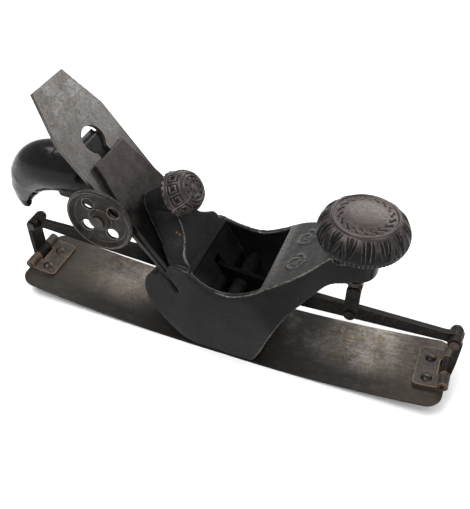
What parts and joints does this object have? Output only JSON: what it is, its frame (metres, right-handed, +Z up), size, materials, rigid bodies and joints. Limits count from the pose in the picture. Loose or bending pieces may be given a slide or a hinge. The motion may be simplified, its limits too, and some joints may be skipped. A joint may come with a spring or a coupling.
{
  "type": "hand plane",
  "caption": "Adjustable circular hand plane: black casting with a curved tail horn, a flexible steel sole worked by geared levers from the front knob, and a wheel-set cutting iron.",
  "frame": {"origin": "lowest point of the sole, in the middle of its length and width", "axes": "+X towards the toe, +Y to the left side seen from behind, +Z up out of the sole"},
  "size_m": [0.2631, 0.0578, 0.1388],
  "materials": {
    "japanned_iron": "worn black japanning, satin to gloss",
    "sole_steel": "mottled grey-brown patina",
    "dark_steel": "dark, lightly worn",
    "bright_steel": "worn bright",
    "cap_steel": "smooth brown patina",
    "knob_iron": "dark bronze-brown, high spots worn",
    "rusted_steel": "brown patina with rust edges",
    "iron_steel": "ground, faint brown stains"
  },
  "bodies": {
    "frame": {"body_casting": "japanned_iron", "sole_centre": "sole_steel", "sole_screws": "dark_steel", "lever_pivot_pins": "bright_steel", "pivot_spacers": "dark_steel", "knob_retaining_pin": "bright_steel", "knob_washer": "bright_steel", "lever_cap": "cap_steel"},
    "knob": {"front_knob": "knob_iron"},
    "screw": {"adjusting_screw": "bright_steel", "strap_upper_rivet": "bright_steel", "link_strap": "dark_steel"},
    "front_lever": {"front_lever": "dark_steel", "toe_lever_pin": "bright_steel", "strap_lower_rivet": "bright_steel"},
    "rear_lever": {"rear_lever": "dark_steel", "heel_lever_pin": "bright_steel"},
    "toe": {"toe_sole": "sole_steel", "toe_hinge_plate": "rusted_steel", "toe_rivets": "dark_steel", "toe_hinge_pin": "bright_steel"},
    "toe_shackle": {"toe_shackle": "dark_steel"},
    "heel": {"heel_sole": "sole_steel", "heel_hinge_plate": "rusted_steel", "heel_rivets": "dark_steel", "heel_hinge_pin": "bright_steel"},
    "heel_shackle": {"heel_shackle": "dark_steel"},
    "depth_wheel": {"depth_wheel": "knob_iron", "wheel_shaft": "bright_steel", "wheel_screw": "dark_steel", "shaft_nut": "dark_steel"},
    "blade": {"cutting_iron": "iron_steel", "depth_rack": "dark_steel"},
    "clamp": {"clamp_knob": "knob_iron", "clamp_screw": "bright_steel"}
  },
  "joints": [
    {"name": "knob_turn", "type": "hinge", "parent": "frame", "child": "knob", "pos_m": [0.07, 0, 0.09], "axis": [0, 0, 1], "range_deg": [-288, 1680]},
    {"name": "screw_lift", "type": "slide", "parent": "frame", "child": "screw", "axis": [0, 0, 1], "range_m": [-0.0071, 0.0013]},
    {"name": "front_lever_swing", "type": "hinge", "parent": "frame", "child": "front_lever", "pos_m": [0.00779, 0.002, 0.035], "axis": [0, -1, 0], "range_deg": [-6.46, 1.12]},
    {"name": "rear_lever_swing", "type": "hinge", "parent": "frame", "child": "rear_lever", "pos_m": [-0.02741, 0.002, 0.035], "axis": [0, -1, 0], "range_deg": [-1.35, 7.75]},
    {"name": "toe_bend", "type": "hinge", "parent": "frame", "child": "toe", "pos_m": [0.026, 0, 0.0007], "axis": [0, -1, 0], "range_deg": [-7.55, 1.31]},
    {"name": "toe_shackle_swing", "type": "hinge", "parent": "toe", "child": "toe_shackle", "pos_m": [0.1259, 0.002, 0.0137], "axis": [0, -1, 0], "range_deg": [-1.83, 10.57]},
    {"name": "heel_bend", "type": "hinge", "parent": "frame", "child": "heel", "pos_m": [-0.012, 0, 0.0007], "axis": [0, -1, 0], "range_deg": [-1.15, 6.63]},
    {"name": "heel_shackle_swing", "type": "hinge", "parent": "heel", "child": "heel_shackle", "pos_m": [-0.1259, 0.002, 0.0137], "axis": [0, -1, 0], "range_deg": [-9.45, 1.64]},
    {"name": "depth_wheel_turn", "type": "hinge", "parent": "frame", "child": "depth_wheel", "pos_m": [-0.06043, -0.02, 0.08069], "axis": [0, 1, 0], "range_deg": [-29.5, 20.5]},
    {"name": "iron_slide", "type": "slide", "parent": "frame", "child": "blade", "axis": [0.6293, 0, -0.7771], "range_m": [-0.0018, 0.0012]},
    {"name": "clamp_turn", "type": "hinge", "parent": "frame", "child": "clamp", "pos_m": [-0.02553, 0, 0.09003], "axis": [0.7771, 0, 0.6293], "continuous": true}
  ],
  "couplings": [
    {"joint": "screw_lift", "follows": "knob_turn", "m_per_rad": -0.0002387},
    {"joint": "front_lever_swing", "follows": "knob_turn", "ratio": -0.0037977},
    {"joint": "rear_lever_swing", "follows": "knob_turn", "ratio": 0.0045572},
    {"joint": "toe_bend", "follows": "knob_turn", "ratio": -0.0044371},
    {"joint": "toe_shackle_swing", "follows": "knob_turn", "ratio": 0.0062158},
    {"joint": "heel_bend", "follows": "knob_turn", "ratio": 0.0038972},
    {"joint": "heel_shackle_swing", "follows": "knob_turn", "ratio": -0.0055591},
    {"joint": "depth_wheel_turn", "follows": "iron_slide", "rad_per_m": 277.78}
  ]
}
